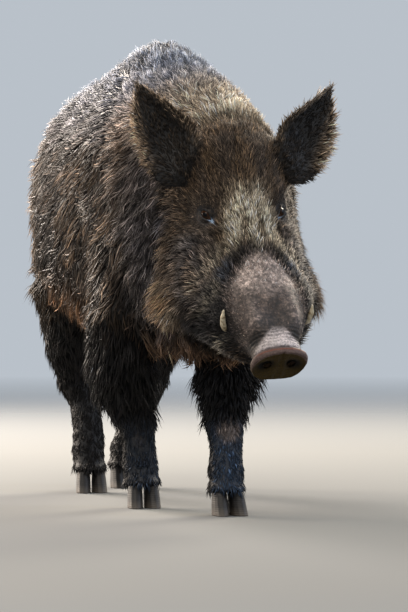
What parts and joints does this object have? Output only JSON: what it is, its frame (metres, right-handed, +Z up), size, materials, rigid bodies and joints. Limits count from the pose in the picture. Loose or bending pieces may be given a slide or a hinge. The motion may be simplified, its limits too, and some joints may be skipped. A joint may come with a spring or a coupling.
{
  "type": "wild boar",
  "caption": "Full-grown male wild boar in winter coat, walking with its head low, standing on its claws; a still animal model at life size.",
  "frame": {"origin": "on the floor, below the middle of the animal's box", "axes": "+Z up, the animal faces -Y, its left side is at +X"},
  "size_m": [0.4908, 1.396, 0.969],
  "materials": {
    "coat": "coarse dark brown-grey bristle with pale tips",
    "dark_coat": "short near-black bristle on the legs and ears",
    "nose": "bare moist grey-brown skin",
    "ivory": "polished cream tooth, stained near the gum",
    "horn": "worn dark horn",
    "eye": "wet dark brown"
  },
  "bodies": {
    "root": {"trunk": "coat", "neck": "coat", "head": "coat", "jaw": "dark_coat", "tail": "coat", "nose_disc": "nose", "ear_left": "dark_coat", "ear_right": "dark_coat", "eye_left": "eye", "eye_right": "eye", "tusk_lower_left": "ivory", "tusk_lower_right": "ivory", "tusk_upper_left": "ivory", "tusk_upper_right": "ivory", "foreleg_left_upper": "dark_coat", "foreleg_left_lower": "dark_coat", "foreleg_right_upper": "dark_coat", "foreleg_right_lower": "dark_coat", "hindleg_left_upper": "dark_coat", "hindleg_left_lower": "dark_coat", "hindleg_right_upper": "dark_coat", "hindleg_right_lower": "dark_coat", "claw_foreleg_left_outer": "horn", "claw_foreleg_left_inner": "horn", "claw_foreleg_right_outer": "horn", "claw_foreleg_right_inner": "horn", "claw_hindleg_left_outer": "horn", "claw_hindleg_left_inner": "horn", "claw_hindleg_right_outer": "horn", "claw_hindleg_right_inner": "horn", "dewclaw_foreleg_left_outer": "horn", "dewclaw_foreleg_left_inner": "horn", "dewclaw_foreleg_right_outer": "horn", "dewclaw_foreleg_right_inner": "horn", "dewclaw_hindleg_left_outer": "horn", "dewclaw_hindleg_left_inner": "horn", "dewclaw_hindleg_right_outer": "horn", "dewclaw_hindleg_right_inner": "horn"}
  },
  "joints": []
}
